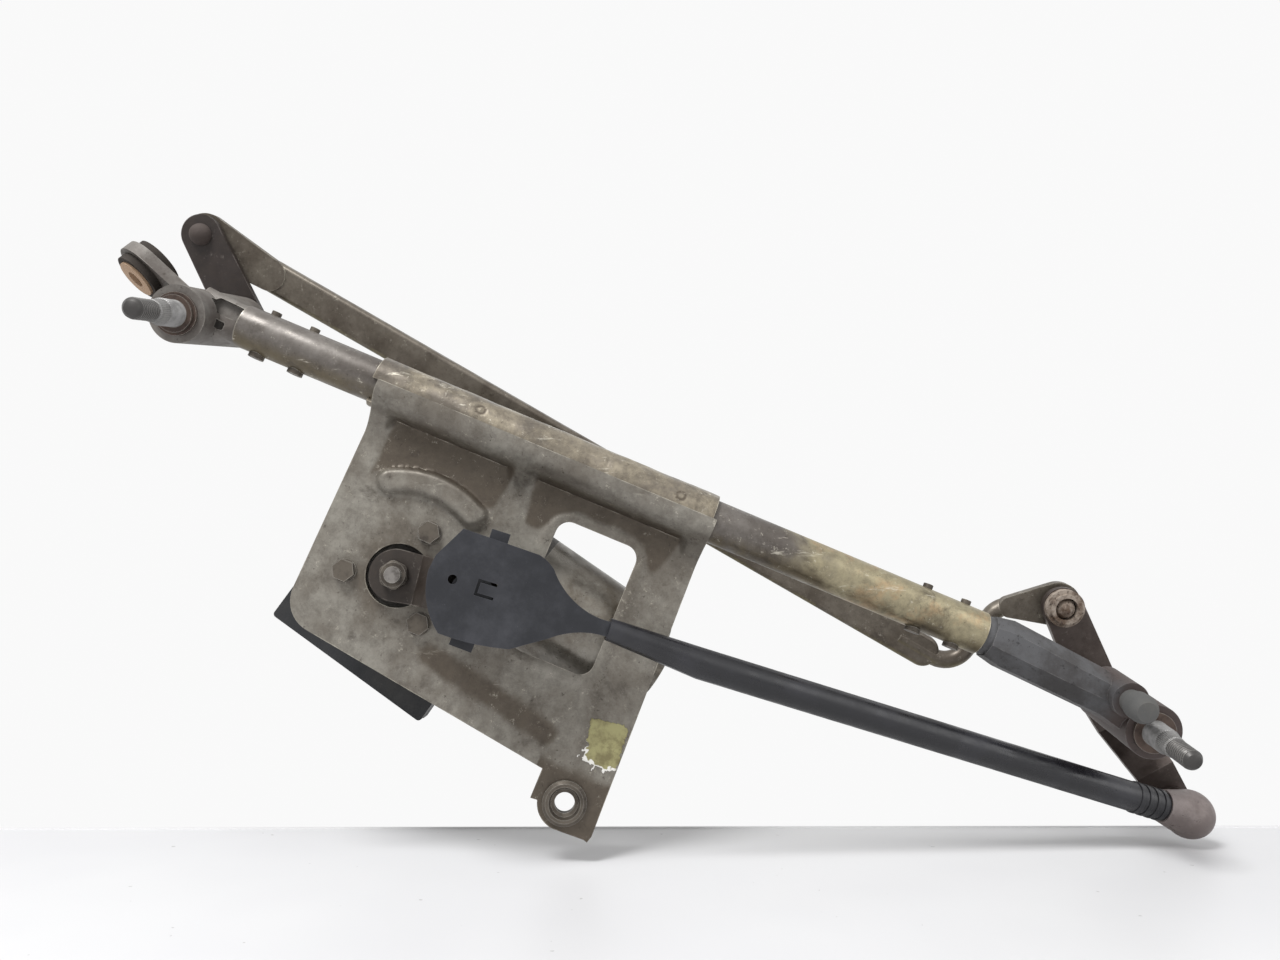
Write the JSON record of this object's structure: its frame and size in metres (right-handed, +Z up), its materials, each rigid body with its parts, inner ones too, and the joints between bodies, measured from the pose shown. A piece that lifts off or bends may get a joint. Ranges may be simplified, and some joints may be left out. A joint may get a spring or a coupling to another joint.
{
  "type": "wiper motor with linkage",
  "caption": "Windshield wiper motor on a pressed bracket, with crank, drive rod, levers and cross link turning the wiper spindles at the ends of a cross tube.",
  "frame": {"origin": "centre of the lower fixing bore, on the middle plane of the bracket", "axes": "+X to the right along the car, +Z up, -Y out of the lower fixing bore, towards the spindle tips"},
  "size_m": [0.559, 0.1344, 0.3382],
  "materials": {
    "bracket_zinc": "dull zinc plating with dirt",
    "tube_zinc": "yellowish zinc plating with scuffs",
    "left_casting": "rough die casting",
    "right_casting": "rough die casting, dark",
    "gear_casting": "sand-dull die casting",
    "bush_bronze": "sintered bronze",
    "grommet_rubber": "black rubber",
    "sleeve_tan": "tan plastic",
    "pin_rubber": "grey rubber",
    "fixing_steel": "aged zinc plating",
    "lid_plastic": "black plastic",
    "contact_brass": "plain copper alloy",
    "yoke_steel": "zinc plating with dirt",
    "magnet_ferrite": "ferrite",
    "holder_plastic": "brown-black moulding",
    "shaft_steel": "ground steel",
    "core_steel": "stacked sheet steel",
    "winding_copper": "enamelled copper",
    "wheel_plastic": "natural nylon",
    "crank_steel": "brownish zinc plating",
    "rod_steel": "plain steel",
    "sleeve_plastic": "glossy black",
    "socket_plastic": "black plastic",
    "lever_steel": "brown-mauve zinc plating",
    "spindle_steel": "grey steel",
    "cup_rust": "rust brown",
    "ring_steel": "bright spring steel",
    "cross_zinc": "zinc-olive plating"
  },
  "bodies": {
    "frame": {"bracket_plate": "bracket_zinc", "cross_tube": "tube_zinc", "tube_pins": "tube_zinc", "left_pivot_housing": "left_casting", "right_pivot_housing": "right_casting", "left_spindle_bushes": "bush_bronze", "right_spindle_bushes": "bush_bronze", "left_grommet": "grommet_rubber", "left_grommet_sleeve": "sleeve_tan", "right_locating_pin": "pin_rubber", "lower_fixing_bush": "fixing_steel", "gear_housing": "gear_casting", "output_bush": "bush_bronze", "gear_cover": "lid_plastic", "connector_pins": "contact_brass", "cover_screws": "fixing_steel", "motor_bolts": "fixing_steel", "motor_yoke": "yoke_steel", "field_magnets": "magnet_ferrite", "yoke_screws": "fixing_steel", "brush_holder": "holder_plastic", "brushes": "holder_plastic", "armature_bearings": "bush_bronze"},
    "armature": {"armature_shaft": "shaft_steel", "armature_core": "core_steel", "armature_windings": "winding_copper", "commutator": "contact_brass"},
    "crank": {"worm_wheel": "wheel_plastic", "output_shaft": "shaft_steel", "crank_arm": "crank_steel", "crank_nut": "fixing_steel", "crank_ball_stud": "crank_steel"},
    "drive_link": {"link_rod": "rod_steel", "rod_sleeve": "sleeve_plastic", "crank_socket": "socket_plastic", "crank_cover": "socket_plastic", "lever_socket": "lever_steel", "lever_ball_stud": "lever_steel"},
    "right_rocker": {"right_spindle": "spindle_steel", "right_lever": "lever_steel", "right_upper_rivet": "cup_rust", "right_upper_cup": "cup_rust", "right_retaining_ring": "ring_steel", "right_thrust_washer": "ring_steel"},
    "left_rocker": {"left_spindle": "spindle_steel", "left_lever": "lever_steel", "left_upper_rivet": "cup_rust", "left_retaining_rings": "ring_steel", "left_thrust_washer": "ring_steel"},
    "cross_bar": {"cross_link": "cross_zinc", "link_bearings": "holder_plastic"}
  },
  "joints": [
    {"name": "armature_spin", "type": "hinge", "parent": "frame", "child": "armature", "pos_m": [0.01125, 0.0345, 0.08199], "axis": [0.8251, 0, -0.565], "range_deg": [0, 9000]},
    {"name": "crank_turn", "type": "hinge", "parent": "frame", "child": "crank", "pos_m": [-0.08408, 0, 0.11091], "axis": [0, 1, 0], "range_deg": [0, 180]},
    {"name": "link_swing", "type": "hinge", "parent": "crank", "child": "drive_link", "pos_m": [-0.04404, -0.033, 0.10211], "axis": [-0.0047, -1, 0.0015], "range_deg": [0, 179.86]},
    {"name": "right_wipe", "type": "hinge", "parent": "frame", "child": "right_rocker", "pos_m": [0.29294, -0.006, 0.03631], "axis": [0.0922, 0.9703, 0.2237], "range_deg": [0, 85.28]},
    {"name": "left_wipe", "type": "hinge", "parent": "frame", "child": "left_rocker", "pos_m": [-0.18535, -0.006, 0.24047], "axis": [0.0922, 0.9703, 0.2237], "range_deg": [0, 85.28]},
    {"name": "bar_follow", "type": "hinge", "parent": "right_rocker", "child": "cross_bar", "pos_m": [0.27563, 0.04132, 0.09635], "axis": [-0.0922, -0.9703, -0.2237], "range_deg": [0, 85.28]}
  ],
  "couplings": [
    {"joint": "crank_turn", "follows": "armature_spin", "ratio": 0.02},
    {"joint": "link_swing", "follows": "armature_spin", "ratio": 0.019984},
    {"joint": "right_wipe", "follows": "armature_spin", "ratio": 0.0094758},
    {"joint": "left_wipe", "follows": "armature_spin", "ratio": 0.0094758},
    {"joint": "bar_follow", "follows": "armature_spin", "ratio": 0.0094758}
  ]
}
